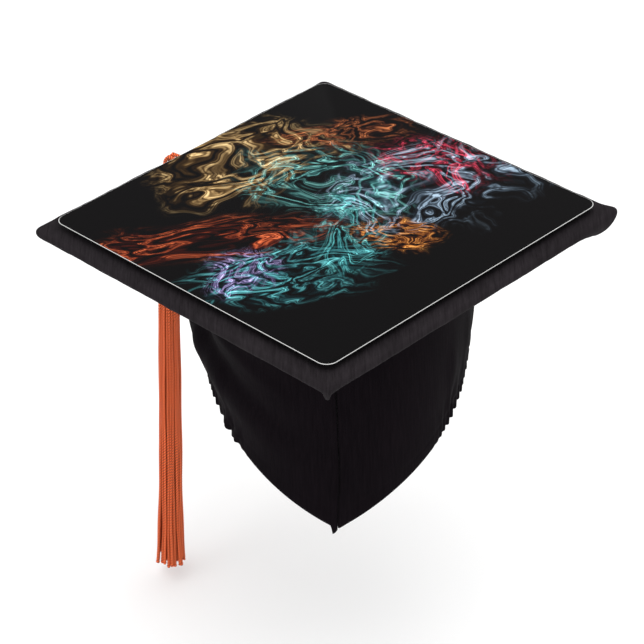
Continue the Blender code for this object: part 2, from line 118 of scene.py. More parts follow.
def surface(made, colour, height=None, distance=0.0, strength=1.0):
    """Feeds a new material's colour, and its relief of distance metres, and returns it."""
    material, tree, shader = made
    if colour is not None:
        tree.links.new(colour, shader.inputs["Base Color"])
    if height is not None:
        bump = add(tree, "Bump", {"Height": height, "Distance": distance, "Strength": strength})
        tree.links.new(bump, shader.inputs["Normal"])
    return material


def build_studio():
    scene = bpy.context.scene
    scene.view_settings.view_transform = "Standard"
    turn, down, roll = CAMERA_TURN, CAMERA_DOWN, CAMERA_ROLL
    ahead = Vector((math.sin(turn) * math.cos(down), math.cos(turn) * math.cos(down), -math.sin(down)))
    level = Vector((math.cos(turn), -math.sin(turn), 0.0))
    up = level.cross(ahead)
    right = level * math.cos(roll) + up * math.sin(roll)
    up = up * math.cos(roll) - level * math.sin(roll)
    camera = bpy.data.objects.new("camera", bpy.data.cameras.new("camera"))
    camera.data.lens = CAMERA_LENS
    place = Vector(CAMERA_AIM) - CAMERA_DISTANCE * ahead
    camera.matrix_world = Matrix.Translation(place) @ Matrix((right, up, -ahead)).transposed().to_4x4()
    scene.collection.objects.link(camera)
    scene.camera = camera

    world = bpy.data.worlds.new("white_room")
    world.use_nodes = True
    light = world.node_tree.nodes["Background"].inputs
    light["Color"].default_value = linear("#ffffff")
    light["Strength"].default_value = ROOM_LIGHT
    scene.world = world

    for name, place, size, power in SOFT_BOXES:
        light = bpy.data.lights.new(name, "AREA")
        light.shape = "SQUARE"
        light.size = size
        light.energy = power
        lamp = bpy.data.objects.new(name, light)
        lamp.location = place
        lamp.rotation_euler = (-Vector(place)).to_track_quat("-Z", "Y").to_euler()
        scene.collection.objects.link(lamp)

    floor_mesh = bpy.data.meshes.new("floor")
    half = FLOOR_HALF
    height = cad_box[0][2] - FLOOR_GAP
    floor_mesh.from_pydata([(x, y, height) for x in (-half, half) for y in (-half, half)], [], [(0, 2, 3, 1)])
    paint, _, _ = new_material("pale_studio_paint", Base_Color=linear("#fbfbfb"), Roughness=0.9)
    floor_mesh.materials.append(paint)
    floor = bpy.data.objects.new("floor", floor_mesh)
    scene.collection.objects.link(floor)


build_studio()


# ---- Tassel cord ----
# One twisted rayon cord, doubled: it is looped round the button, its two legs lie
# along the board and bend down over the edge, and both ends are tied in one knot.

CORD_DIAMETER = 0.0026
CORD_TWIST = 0.0058
CORD_PLIES = 3
CORD_SIDES = 18
LEG_SPACING = 0.0042
LOOP_RADIUS = 0.0056
LOOP_ARC_START = math.radians(80)
LOOP_ARC_SWEEP = math.radians(200)
LOOP_OPENING = 1.9
EDGE_BEND = 0.0058
CORD_SPACING = 0.0007
HANG_LEAN = 0.058
PLY_CORE = 0.84
# Share of the drop from the bend to the knot, and how far apart the legs are there
DROP_SHAPE = ((1.0, 0.0), (0.85, 0.2), (0.55, 0.85), (0.25, 1.0))

swing_joint = next(j for j in frame["joints"] if j["name"] == "tassel_swing")
bend_centre = np.array(swing_joint["pos_m"])
cord_reach = float(np.hypot(*bend_centre[:2])) + EDGE_BEND
cord_out = bend_centre[:2] / np.hypot(*bend_centre[:2])
cord_height = bend_centre[2] + EDGE_BEND
knot_low, knot_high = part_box("cord_knot")
drop_bottom = float(knot_high[2])


def on_cord(reach, side, height):
    """Points in the cord's own frame: out from the button, across the legs, and up."""
    reach, side, height = np.broadcast_arrays(reach, side, height)
    return np.stack([reach * cord_out[0] - side * cord_out[1],
                     reach * cord_out[1] + side * cord_out[0], height], axis=-1).astype(float)


def hang(points):
    """Leans what hangs below the cord's bend: x less the lean times the depth below it."""
    points = np.array(points, float)
    points[..., 0] -= HANG_LEAN * np.maximum(0, bend_centre[2] - points[..., 2])
    return points


def run_length(line):
    """How far along a line each of its points lies."""
    return np.concatenate([[0], np.cumsum(np.linalg.norm(np.diff(line, axis=0), axis=1))])


def smooth_route(points, spacing):
    """Evenly spaced points on a Catmull-Rom curve: between p1 and p2 the place is half of
    2 p1 + (p2 - p0) t + (2 p0 - 5 p1 + 4 p2 - p3) t^2 + (3 p1 - p0 - 3 p2 + p3) t^3."""
    points = np.asarray(points, float)
    ends = np.concatenate([[2 * points[0] - points[1]], points, [2 * points[-1] - points[-2]]])
    t = (np.arange(24) / 24)[:, None]
    p0, p1, p2, p3 = (ends[i:len(ends) - 3 + i, None] for i in range(4))
    fine = (2 * p1 + (p2 - p0) * t + (2 * p0 - 5 * p1 + 4 * p2 - p3) * t ** 2
            + (3 * p1 - p0 - 3 * p2 + p3) * t ** 3) / 2
    fine = np.concatenate([fine.reshape(-1, 3), points[-1:]])
    along = run_length(fine)
    wanted = np.linspace(0, along[-1], max(2, round(along[-1] / spacing)) + 1)
    return np.stack([np.interp(wanted, along, fine[:, k]) for k in range(3)], axis=-1)


def tube_points(paths, radius, first_side):
    """Rings round one or more paths. Two directions across the path are carried along it,
    losing at each step only their part along the path; a ring is the path plus radius
    times cos and sin of the angle round it. radius has the shape paths, rings, sides."""
    ahead = np.gradient(paths, axis=-2)
    ahead /= np.linalg.norm(ahead, axis=-1, keepdims=True)
    across = np.empty_like(ahead)
    carried = np.broadcast_to(np.asarray(first_side, float), ahead[..., 0, :].shape)
    for i in range(ahead.shape[-2]):
        here = ahead[..., i, :]
        carried = carried - here * (carried * here).sum(-1, keepdims=True)
        carried = carried / np.linalg.norm(carried, axis=-1, keepdims=True)
        across[..., i, :] = carried
    up = np.cross(ahead, across)
    angle = np.arange(radius.shape[-1]) * (math.tau / radius.shape[-1])
    ring = (across[..., None, :] * np.cos(angle)[:, None] + up[..., None, :] * np.sin(angle)[:, None])
    return paths[..., None, :] + radius[..., None] * ring


def grid_piece(name, points, material, uv=None, closed=True, capped=False):
    """A mesh from grids of points, each rows by columns. closed joins the last column to
    the first, and capped fills the first and last rows. uv has one more column if closed."""
    *_, rows, columns, _ = points.shape
    index = np.arange(points.size // 3).reshape(-1, rows, columns)
    spread = np.arange(index.shape[0] * rows * (columns + closed)).reshape(-1, rows, columns + closed)
    ends = [ring for grid in index for ring in (grid[0][::-1], grid[-1])] if capped else []
    if closed:
        index = np.concatenate([index, index[:, :, :1]], axis=2)
    corners = [(slice(None, -1), slice(None, -1)), (slice(None, -1), slice(1, None)),
               (slice(1, None), slice(1, None)), (slice(1, None), slice(None, -1))]
    faces = np.stack([index[:, a, b] for a, b in corners], axis=-1).reshape(-1, 4)
    mesh = bpy.data.meshes.new(name)
    mesh.from_pydata(points.reshape(-1, 3).tolist(), [], faces.tolist() + [end.tolist() for end in ends])
    if uv is not None:
        flat = np.asarray(uv, float).reshape(-1, 2)
        picked = np.stack([spread[:, a, b] for a, b in corners], axis=-1).reshape(-1)
        values = flat[picked]
        if capped:
            starts = spread[:, [0, -1], :columns].reshape(-1)
            values = np.concatenate([values, flat[starts]])
        layer = mesh.uv_layers.new(name="along")
        layer.uv.foreach_set("vector", values.astype(np.float32).reshape(-1))
    mesh.materials.append(material)
    mesh.shade_smooth()
    piece = bpy.data.objects.new(name, mesh)
    bpy.context.collection.objects.link(piece)
    return piece


def rayon_material(name, twist, plies):
    """Bright dyed rayon, spun and twisted: u counts strands and the way round each one,
    v is metres along it. Painted shade darkens the grooves between plies to deep red, a
    painted highlight brightens the crests, and fine fibres run along each ply as paler painted glints."""
    made = new_material(name, Roughness=0.5, Specular_IOR_Level=0.12)
    tree = made[1]
    uv = add(tree, "UVMap", uv_map="along")
    split = tree.nodes.new("ShaderNodeSeparateXYZ")
    tree.links.new(uv, split.inputs[0])
    u, v = split.outputs["X"], split.outputs["Y"]
    turns = add(tree, "Math", {0: v, 1: 1 / twist}, operation="MULTIPLY")
    leaning = add(tree, "Math", {0: u, 1: turns}, operation="SUBTRACT")
    phase = add(tree, "Math", {0: leaning, 1: math.tau * plies}, operation="MULTIPLY")
    wave = add(tree, "Math", {0: phase}, operation="COSINE")
    crest = add(tree, "MapRange", {"Value": wave, "From Min": -0.70, "From Max": 0.40})
    # Fibres: noise stretched along the ply, about a tenth of a millimetre across
    fibre_place = add(tree, "CombineXYZ",
                      {"X": add(tree, "Math", {0: leaning, 1: 60.0}, operation="MULTIPLY"),
                       "Y": add(tree, "Math", {0: v, 1: 300.0}, operation="MULTIPLY")})
    fibre = add(tree, "TexNoise", {"Vector": fibre_place, "Scale": 1.0, "Detail": 2.0})
    strand = add(tree, "TexWhiteNoise", {"W": add(tree, "Math", {0: u}, operation="FLOOR")},
                 noise_dimensions="1D")
    # Painted shade darkens the grooves between plies and a painted highlight brightens the crests
    groove_shade_crest_highlight = add(tree, "Mix", {0: crest, 6: linear("#6a0a00"), 7: linear("#ff6830")}, out=2, data_type="RGBA")
    # Paler fibre streaks along each ply are painted glints
    lit = add(tree, "MapRange", {"Value": fibre, "From Min": 0.35, "From Max": 0.75, "To Max": 0.5})
    shade_highlight_and_glints = add(tree, "Mix", {0: lit, 6: groove_shade_crest_highlight, 7: linear("#ffa070")}, out=2, data_type="RGBA")
    bright = add(tree, "MapRange", {"Value": strand, "To Min": 0.85, "To Max": 1.12})
    colour = add(tree, "HueSaturation", {"Color": shade_highlight_and_glints, "Value": bright})
    height = add(tree, "Math", {0: fibre, 1: 0.4, 2: crest}, operation="MULTIPLY_ADD")
    return surface(made, colour, height, 0.0005, 0.9)


def cord_route():
    """The way of one end of the cord from the knot up over the edge, along the board,
    round the button and back."""
    half = LEG_SPACING / 2
    bend_reach, bend_height = cord_reach - EDGE_BEND, cord_height - EDGE_BEND
    close = (CORD_DIAMETER + 0.0003) / 2
    down, opened = np.array(DROP_SHAPE).T
    side = close + (half - close) * opened
    rise = on_cord(cord_reach, side, bend_height + (drop_bottom - bend_height) * down)
    turn = np.radians(np.arange(0, 91, 22.5))
    bend = on_cord(bend_reach + EDGE_BEND * np.cos(turn), half, bend_height + EDGE_BEND * np.sin(turn))
    ease = LOOP_OPENING * LOOP_RADIUS
    leg_reach = np.array([0.7 * bend_reach, 0.4 * bend_reach, 2 * ease, ease])
    leg = on_cord(leg_reach, np.array([half, half, half, (half + LOOP_RADIUS) / 2]), cord_height)
    arc = LOOP_ARC_START + LOOP_ARC_SWEEP * np.linspace(0, 1, 11)
    loop = on_cord(LOOP_RADIUS * np.cos(arc), LOOP_RADIUS * np.sin(arc), cord_height)
    one_way = np.concatenate([rise, bend, leg])
    mirrored = one_way[::-1].copy()
    across = np.array([-cord_out[1], cord_out[0]])
    mirrored[:, :2] -= 2 * (mirrored[:, :2] @ across)[:, None] * across
    return hang(smooth_route(np.concatenate([one_way, loop, mirrored]), CORD_SPACING))


def ply_radius(along, sides, diameter, twist, plies):
    """The radius of a twisted cord: half its diameter times the core's share, and the rest
    times the size of cos(plies / 2 (angle - turn)), where turn grows along the cord."""
    angle = np.arange(sides) * (math.tau / sides)
    lobes = np.abs(np.cos(plies / 2 * (angle - math.tau * along[..., None] / twist)))
    return diameter / 2 * (PLY_CORE + (1 - PLY_CORE) * lobes)


def along_uv(along, sides, number=0.0):
    """UV of tubes: u is the strand's number plus the share of the way round, v is metres."""
    u = np.asarray(number)[..., None, None] + np.linspace(0, 1, sides + 1) * np.ones_like(along)[..., None]
    return np.stack([u, np.broadcast_to(along[..., None], u.shape)], axis=-1)


twisted_rayon = rayon_material("rayon_cord_three_ply_twist", CORD_TWIST, CORD_PLIES)
route = cord_route()
cord_along = run_length(route)
cord = grid_piece(
    "tassel_cord",
    tube_points(route, ply_radius(cord_along, CORD_SIDES, CORD_DIAMETER, CORD_TWIST, CORD_PLIES), (1, 0, 0)),
    twisted_rayon, along_uv(cord_along, CORD_SIDES), capped=True)
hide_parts("cord_loop", "cord_bend_left", "cord_bend_right", "cord_drop_left", "cord_drop_right")
on_cord(cord_reach - EDGE_BEND, 0, cord_height)
on_cord(cord_reach, 0, cord_height - EDGE_BEND)
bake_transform(cord)


# ---- Knot, head and neck of the tassel ----
# The cord's ends are tied in a small overhand knot. Under it the skirt's yarns are
# folded over into a round head, which a thread whipping draws in to the neck.

HEAD_YARNS = 26
HEAD_DOME = 0.3
HEAD_TAPER = 0.45
HEAD_RIB = 0.07
WHIPPING_THREAD = 0.0010


def make_knot():
    """A trefoil: x = sin t + 2 sin 2t, y = cos t - 2 cos 2t, z = -sin 3t, scaled to fit."""
    centre = (np.array(knot_low) + np.array(knot_high)) / 2
    wide = (knot_high[0] - knot_low[0]) / 2 - CORD_DIAMETER / 2
    tall = (knot_high[2] - knot_low[2]) / 2 - CORD_DIAMETER / 2
    t = np.linspace(0, math.tau, 161)[:-1]
    line = np.stack([(np.sin(t) + 2 * np.sin(2 * t)) * wide / 3, (np.cos(t) - 2 * np.cos(2 * t)) * wide / 3,
                     -np.sin(3 * t) * tall], axis=-1) + centre
    line = np.concatenate([line, line[:2]])
    along = run_length(line)
    radius = ply_radius(along, CORD_SIDES, CORD_DIAMETER, CORD_TWIST, CORD_PLIES)
    knot = grid_piece("tassel_cord_knot", hang(tube_points(line, radius, (0, 0, 1))), twisted_rayon,
                      along_uv(along, CORD_SIDES), capped=True)
    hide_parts("cord_knot")
    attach(knot, "tassel_drop")
    return knot


def make_head():
    """Turned surface whose radius, an ellipse quarter then a slow taper, is ribbed by the
    folded yarns: radius times 1 + rib |cos(yarns / 2 (angle + lean))|."""
    low, high = (np.array(corner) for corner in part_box("tassel_head"))
    centre = (low + high) / 2
    widest = (high[0] - low[0]) / 2 / (1 + HEAD_RIB)
    neck = (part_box("tassel_neck_binding")[1][0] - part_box("tassel_neck_binding")[0][0]) / 2 * 0.93
    down = np.linspace(0, 1, 40)
    radius = np.where(down < HEAD_DOME, np.sqrt(np.clip(1 - (1 - down / HEAD_DOME) ** 2, 0.02, 1)), 1.0)
    taper = np.clip((down - HEAD_TAPER) / (1 - HEAD_TAPER), 0, 1) ** 1.6
    radius = radius * widest * (1 - (1 - neck / widest) * taper)
    height = high[2] - down * (high[2] - low[2])
    sides = HEAD_YARNS * 8
    angle = np.arange(sides) * (math.tau / sides)
    ribs = 1 + HEAD_RIB * np.abs(np.cos(HEAD_YARNS / 2 * (angle + 0.5 * down[:, None])))
    around = np.stack([centre[0] + radius[:, None] * ribs * np.cos(angle),
                       centre[1] + radius[:, None] * ribs * np.sin(angle),
                       np.broadcast_to(height[:, None], ribs.shape)], axis=-1)
    uv = np.stack(np.broadcast_arrays(np.linspace(0, HEAD_YARNS, sides + 1), height[:, None]), axis=-1)
    head = grid_piece("tassel_head_folded_yarns", hang(around)[::-1], spun_rayon, uv[::-1], capped=True)
    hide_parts("tassel_head")
    return head


def make_whipping():
    """A thread wound in a helix round the neck, turn beside turn."""
    low, high = (np.array(corner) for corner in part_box("tassel_neck_binding"))
    turns = (high[2] - low[2]) / (WHIPPING_THREAD * 1.02) - 1
    t = np.linspace(0, 1, round(turns * 36))
    radius = (high[0] - low[0]) / 2 - WHIPPING_THREAD / 2
    height = high[2] - WHIPPING_THREAD / 2 - t * (high[2] - low[2] - WHIPPING_THREAD)
    line = np.stack([(low[0] + high[0]) / 2 + radius * np.cos(math.tau * turns * t),
                     (low[1] + high[1]) / 2 + radius * np.sin(math.tau * turns * t), height], axis=-1)
    along = run_length(line)
    ring = np.full((len(line), 8), WHIPPING_THREAD / 2)
    whipping = grid_piece("tassel_neck_whipping", hang(tube_points(line, ring, (0, 0, 1))), spun_rayon,
                          along_uv(along, 8), capped=True)
    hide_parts("tassel_neck_binding")
    return whipping


STRAND_TWIST = 0.0044  # a little coarser than such yarn is spun, so that it shows
STRAND_PLIES = 2
spun_rayon = rayon_material("rayon_yarn_two_ply_spun", STRAND_TWIST, STRAND_PLIES)
knot = make_knot()
head = make_head()
whipping = make_whipping()
for piece in (head, whipping):
    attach(piece, "tassel")


# ---- Tassel skirt ----
# About fifty two-ply rayon strands that hang free from the neck. They spread slowly,
# wander a little, and their cut ends are uneven, with a few outer ones flicked out.

STRAND_DIAMETER = 0.0020
OUTER_STEP = 0.00046
INNER_STEP = 0.00080
SKIRT_NECK = 0.0053
OUTER_STRANDS = 23
INNER_RINGS = ((15, 0.68), (9, 0.38), (3, 0.12))
OUTER_SIDES, INNER_SIDES = 6, 5
END_UNEVEN = 0.0045
END_FRAY = 0.3
FLICKED, UNFLICKED = 0.0022, 0.0005
# Turns from neck to end, and size: sideways as a share of the radius, outwards in metres
WAVES_ROUND = ((1.3, 0.035), (2.9, 0.022), (6.5, 0.009))
WAVES_OUT = ((1.1, 0.0004), (3.7, 0.00025))
rng = np.random.default_rng(7)


def strand_paths(angle, share, rows):
    """Hanging lines. At depth s from 0 to 1 a strand lies at share times the skirt's
    radius, r(s) = neck + (bottom - neck) (0.55 s^0.35 + 0.45 s^2.6), and wanders by slow
    sine waves of its own. Its end turns out a little."""
    centre = (skirt_low + skirt_high) / 2
    count = len(angle)
    s = np.linspace(0, 1, rows)
    bottom = (skirt_high[0] - skirt_low[0]) / 2 - STRAND_DIAMETER * 0.7
    reach = SKIRT_NECK + (bottom - SKIRT_NECK) * (0.55 * s ** 0.35 + 0.45 * s ** 2.6)
    length = skirt_high[2] - skirt_low[2] - END_UNEVEN * rng.random(count) ** 1.4
    flick = np.where(rng.random(count) < 0.3, FLICKED, UNFLICKED) * share
    radial = share[:, None] * reach + flick[:, None] * s ** 14
    wave = sum(a * np.sin(math.tau * (f * s + rng.random((count, 1)))) * s ** 0.7
               for f, a in WAVES_ROUND)
    out_wave = sum(a * np.sin(math.tau * (f * s + rng.random((count, 1)))) * s ** 0.6
                   for f, a in WAVES_OUT)
    radial = radial + out_wave
    theta = angle[:, None] + wave / np.maximum(share[:, None], 0.4)
    paths = np.stack([centre[0] + radial * np.cos(theta), centre[1] + radial * np.sin(theta),
                      skirt_high[2] - s * length[:, None]], axis=-1)
    return hang(paths), length


def make_strands(name, rings, step, sides):
    """Every strand is a tube whose two plies show as bumps, two to a turn. Its cut end
    widens as the 24th power of the way down."""
    angle, share = [], []
    for count, ring_share in rings:
        angle.append(math.tau * (np.arange(count) + 0.5 * rng.random(count)) / count + rng.random())
        share.append(ring_share * (1 - 0.09 * rng.random(count)))
    angle, share = np.concatenate(angle), np.concatenate(share)
    rows = round((skirt_high[2] - skirt_low[2]) / step)
    paths, length = strand_paths(angle, share, rows)
    along = np.linspace(0, 1, rows) * length[:, None]
    lobes = ply_radius(along + 0.002 * rng.random((len(angle), 1)), sides, STRAND_DIAMETER,
                       STRAND_TWIST, STRAND_PLIES)
    radius = lobes ** 2 / lobes.max() * (1 + 0.10 * rng.standard_normal((len(angle), 1, 1)).clip(-1.5, 1.5))
    radius = radius * (1 + END_FRAY * np.linspace(0, 1, rows)[:, None] ** 24)
    strands = grid_piece(name, tube_points(paths, radius, (1, 0, 0)), spun_rayon,
                         along_uv(along, sides, np.arange(len(angle), dtype=float)), capped=True)
    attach(strands, "tassel")
    return strands, paths.mean(axis=0)


skirt_low, skirt_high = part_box("tassel_skirt")
skirt, skirt_line = make_strands("tassel_skirt_strands", ((OUTER_STRANDS, 1.0),), OUTER_STEP, OUTER_SIDES)
heart, _ = make_strands("tassel_skirt_inner_strands", INNER_RINGS, INNER_STEP, INNER_SIDES)
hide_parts("tassel_skirt")


# ---- Board cover ----
# A flat pillow of black gabardine pulled over the card: the top cloth turns round the
# edge and is hemmed to the bottom cloth. It is fuller than the card, so one corner
# droops, and a seam allowance shows as a small ear under the front corner.

COVER_ROLL = 0.0026
UNDER_ROLL = 0.0038
COVER_CLOTH = 0.0008
COVER_FULLNESS = 0.0009
CORNER_RADIUS = 0.0040
HEM_WIDTH = 0.0045
BUTTON_HOLE = 0.0033
RIB_SPACING = 0.0011
DROOP_DEPTH = 0.0090
DROOP_REACH = 0.018
EAR_PLACE = -0.0006
EAR_WIDTH = 0.0020
EAR_DROP = 0.0058
PRESSED_PLACE = -0.015
PRESSED_REACH = 0.026
PRESSED_DEPTH = 0.0012
DROOP_TUCK = 0.0055
EAR_TUCK = 0.0012
PEAK_LIFT, PEAK_REACH = 0.0016, 0.0075
EDGE_REACH = 0.008
# Size, number round the board and start of each wave of the edge
EDGE_WAVES = ((0.00020, 17, 0.4), (0.00016, 31, 2.1), (0.00012, 53, 4.0), (0.00009, 97, 1.0))


def square_outline(side, corner_radius, per_corner=9, per_side=190):
    """Points round a rounded square whose corners point along X and Y: four quarter
    turns of a corner's arc followed by a straight side."""
    inset = side / 2 - corner_radius
    turn = np.radians(np.linspace(0, 90, per_corner))
    corner = inset + corner_radius * np.stack([np.cos(turn), np.sin(turn)], axis=-1)
    share = np.linspace(inset, -inset, per_side + 2)[1:-1]
    quarter = np.concatenate([corner, np.stack([share, np.full(per_side, side / 2)], axis=-1)])
    spin = np.radians(90 * np.arange(4) - 45)[:, None]
    x = quarter[:, 0] * np.cos(spin) - quarter[:, 1] * np.sin(spin)
    y = quarter[:, 0] * np.sin(spin) + quarter[:, 1] * np.cos(spin)
    return np.stack([x, y], axis=-1).reshape(-1, 2)


def square_side(node, corner_radius):
    """The side of a rounded square node, from its width between opposite corners."""
    low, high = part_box(node)
    return math.sqrt(2) * ((high[0] - low[0]) / 2 + corner_radius * (math.sqrt(2) - 1))


def near(distance, reach):
    """A bell: 1 where distance is 0, e to the power -1 at reach."""
    return np.exp(-(np.asarray(distance) / reach) ** 2)


def solidify(piece, thickness):
    """Gives a sheet its thickness, towards its inner side."""
    wall = piece.modifiers.new("cloth_thickness", "SOLIDIFY")
    wall.thickness = thickness
    wall.offset = -1.0


def gabardine(name, low, high, ribs):
    """Black polyester gabardine: fine steep ribs a millimetre or two apart, broken along
    their length, over a finer weave, with the faint sheen of fibre ends. ribs is how
    often the noise repeats in each direction, per metre."""
    made = new_material(name, Roughness=0.85, Specular_IOR_Level=0.03, Sheen_Weight=0.008, Sheen_Roughness=0.5)
    tree = made[1]
    place = add(tree, "TexCoord", out=3)
    stretched = add(tree, "VectorMath", {0: place, 1: ribs}, operation="MULTIPLY")
    rib = add(tree, "TexNoise", {"Vector": stretched, "Scale": 1.0, "Detail": 2.0, "Roughness": 0.6})
    contrast = add(tree, "MapRange", {"Value": rib, "From Min": 0.26, "From Max": 0.76})
    # Drawn at about twice the size of such a weave, so that it shows
    weave = add(tree, "TexNoise", {"Vector": place, "Scale": 1500.0, "Detail": 1.0})
    relief = add(tree, "Mix", {0: 0.35, 2: contrast, 3: weave})
    cloth = add(tree, "Mix", {0: relief, 6: linear(low), 7: linear(high)}, out=2, data_type="RGBA")
    patch = add(tree, "TexNoise", {"Vector": place, "Scale": 26.0, "Detail": 3.0})
    worn = add(tree, "MapRange", {"Value": patch, "From Min": 0.3, "From Max": 0.7,
                                  "To Min": 0.85, "To Max": 1.12})
    return surface(made, add(tree, "HueSaturation", {"Color": cloth, "Value": worn}), relief, 0.00025, 0.5)


board_gabardine = gabardine("polyester_gabardine_ribbed", "#161315", "#2b272a", (1 / RIB_SPACING, 70, 70))
cover_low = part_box("board_cover_bottom")[0][2]
cover_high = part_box("board_cover_top")[1][2]
board_side = square_side("board_cover_top", CORNER_RADIUS)


def round_hole(outline):
    """Points of the button's hole, each facing the same way as its partner."""
    return BUTTON_HOLE * outline / np.linalg.norm(outline, axis=-1, keepdims=True)


def make_cover_top():
    """Rings from the button's hole out to the edge, round it, down and under to the hem.
    The edge ripples by a sum of sines round it, and is flat where the cord presses it.
    One corner droops by a bell of the distance from it, and the ear is a flat-topped
    bell along the edge."""
    outline = square_outline(board_side, CORNER_RADIUS)
    hole = round_hole(outline)
    bottom = cover_low - COVER_FULLNESS
    turn = np.radians(np.linspace(0, 90, 8))
    roll_in, roll_down = 1 - np.cos(turn), 1 - np.sin(turn)
    middle = np.linspace(cover_high - COVER_ROLL, bottom + UNDER_ROLL, 5)[1:-1]
    inset = np.concatenate([[0.030, 0.018, 0.011, 0.007, 0.0045], COVER_ROLL * roll_in[::-1], np.zeros(3),
                            UNDER_ROLL * roll_in, COVER_ROLL + HEM_WIDTH * np.array([0.5, 1.0])])
    height = np.concatenate([np.full(5, cover_high), cover_high - COVER_ROLL * roll_down[::-1], middle,
                             bottom + UNDER_ROLL * roll_down, [bottom + 0.0002, cover_low - 0.0002]])
    rings = np.stack([square_outline(board_side + 2 * (COVER_FULLNESS - d), CORNER_RADIUS) for d in inset])
    shares = (np.arange(8) / 8)[:, None, None]
    rings = np.concatenate([hole + (rings[0] - hole) * shares, rings])
    inset = np.concatenate([np.full(8, 0.06), inset])[:, None]
    height = np.concatenate([np.full(8, cover_high), height])[:, None]
    points = np.concatenate([rings, np.broadcast_to(height[..., None], rings.shape[:2] + (1,))], axis=-1)

    step = np.linalg.norm(np.diff(outline, axis=0, prepend=outline[-1:]), axis=1)
    phase = math.tau * np.cumsum(step) / step.sum()
    ripple = sum(size * np.sin(count * phase + start) for size, count, start in EDGE_WAVES)
    edge = near(inset, EDGE_REACH)
    # The cord presses the fullness flat along the stretch of edge that it can reach
    along_edge = outline @ np.array([-cord_out[1], cord_out[0]])
    pressed = near((along_edge - PRESSED_PLACE) ** 2, PRESSED_REACH ** 2) * (outline @ cord_out > 0)
    down = np.clip((cover_high - height) / (cover_high - bottom), 0, 1)
    outward = outline / np.linalg.norm(outline, axis=-1, keepdims=True)
    points[..., :2] += (edge * ripple * (1 - pressed) * (0.3 + 0.7 * down))[..., None] * outward
    points[..., :2] -= (PRESSED_DEPTH * edge * pressed)[..., None] * cord_out
    points[..., 2] += edge * ripple * (0.3 + 1.2 * down)

    sag = down ** 1.2
    sag[-1] = 0.0
    tip = np.array([board_side / math.sqrt(2), 0])
    droop = near(np.linalg.norm(outline - tip, axis=-1), DROOP_REACH)
    droop = droop * (0.45 + 0.55 / (1 + np.exp(outline[:, 1] / 0.002)))
    points[..., 2] -= DROOP_DEPTH * droop * sag
    points[..., 0] -= DROOP_TUCK * droop * sag
    peak = near(np.linalg.norm(outline - tip, axis=-1), PEAK_REACH) * (1 - down) * edge
    points[..., 0] += PEAK_LIFT * peak
    points[..., 2] += PEAK_LIFT * peak
    ear = near((outline[:, 0] - EAR_PLACE) ** 2, EAR_WIDTH ** 2) * (outline[:, 1] < 0)
    points[..., 2] -= EAR_DROP * ear * sag ** 4
    points[..., 1] += EAR_TUCK * ear * sag ** 4
    return grid_piece("board_cover_top_cloth", points[::-1], board_gabardine)


def make_cover_bottom():
    """A square of the same cloth inside the hem, with slack waves of two sines."""
    outline = square_outline(board_side - 2 * COVER_ROLL, CORNER_RADIUS, per_side=90)
    hole = round_hole(outline)
    share = np.concatenate([np.linspace(0, 0.95, 30), [0.975, 0.99, 1.0]])[:, None, None]
    flat = hole + (outline - hole) * share
    slack = 0.00025 * np.sin(flat[..., 0] / 0.011 + 1.0) * np.sin(flat[..., 1] / 0.014)
    height = cover_low + 0.0002 + slack * np.sin(math.pi * share[..., 0])
    points = np.concatenate([flat, height[..., None]], axis=-1)
    return grid_piece("board_cover_bottom_cloth", points, board_gabardine)


for piece, node in ((make_cover_top(), "board_cover_top"), (make_cover_bottom(), "board_cover_bottom")):
    solidify(piece, COVER_CLOTH)
    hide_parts(node)
    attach(piece, "root")


# ---- Board card and button ----
# A pressed grey card fills the cover. The button is a cloth-covered dome, gathered
# under its rim, on a steel shank that is clinched over a washer under the board.

BUTTON_GATHERS = 22
BUTTON_FOLD = 0.02


def grained(name, kind, grain, low, high, relief, **values):
    """A surface of two tones. grain is the settings of its noise, or of its cells, which
    set the tone and stand up by relief metres; values set the shader's own sockets."""
    made = new_material(name, **values)
    tree = made[1]
    spread = add(tree, kind, {"Vector": add(tree, "TexCoord", out=3), **grain})
    colour = add(tree, "Mix", {0: spread, 6: linear(low), 7: linear(high)}, out=2, data_type="RGBA")
    return surface(made, colour, spread if relief else None, relief)


def plated_steel():
    """Nickel-plated steel, stamped: bright, with fine scuffs in all directions."""
    material, tree, shader = new_material("nickel_plated_stamped_steel", Metallic=1.0,
                                          Base_Color=linear("#b9b6b0"))
    place = add(tree, "TexCoord", out=3)
    scuff = add(tree, "TexNoise", {"Vector": place, "Scale": 900.0, "Detail": 4.0, "Distortion": 2.0})
    tree.links.new(add(tree, "MapRange", {"Value": scuff, "To Min": 0.2, "To Max": 0.45}),
                   shader.inputs["Roughness"])
    return surface((material, tree, shader), None, scuff, 0.00004, 0.4)


def finish_node(node, material):
    """Gives a CAD node its finish."""
    frame["nodes"][node].data.materials.clear()
    frame["nodes"][node].data.materials.append(material)


def make_button():
    """A dome whose height is the root of 1 - 0.8 r^2. Its rim is folded by cos(gathers
    times the angle), which fades towards the middle as the sixth power of r."""
    low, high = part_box("button_cap")
    angle = np.linspace(0, math.tau, BUTTON_GATHERS * 8 + 1)[:-1]
    share = np.concatenate([np.linspace(0.02, 0.94, 14), [0.98, 1.0, 1.0, 0.97, 0.85, 0.5]])[:, None]
    level = np.concatenate([np.sqrt(1 - 0.8 * np.linspace(0.02, 0.94, 14) ** 2),
                            [0.46, 0.38, 0.2, 0.06, 0.0, 0.0]])[:, None]
    folds = 1 + BUTTON_FOLD * np.cos(BUTTON_GATHERS * angle) * share ** 6
    radius = (high[0] - low[0]) / 2 / (1 + BUTTON_FOLD) * share * folds
    height = np.broadcast_to(low[2] + level * (high[2] - low[2]), radius.shape)
    points = np.stack([radius * np.cos(angle), radius * np.sin(angle), height], axis=-1)
    button = grid_piece("button_cap_covered", points[::-1], board_gabardine, capped=True)
    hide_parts("button_cap")
    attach(button, "root")


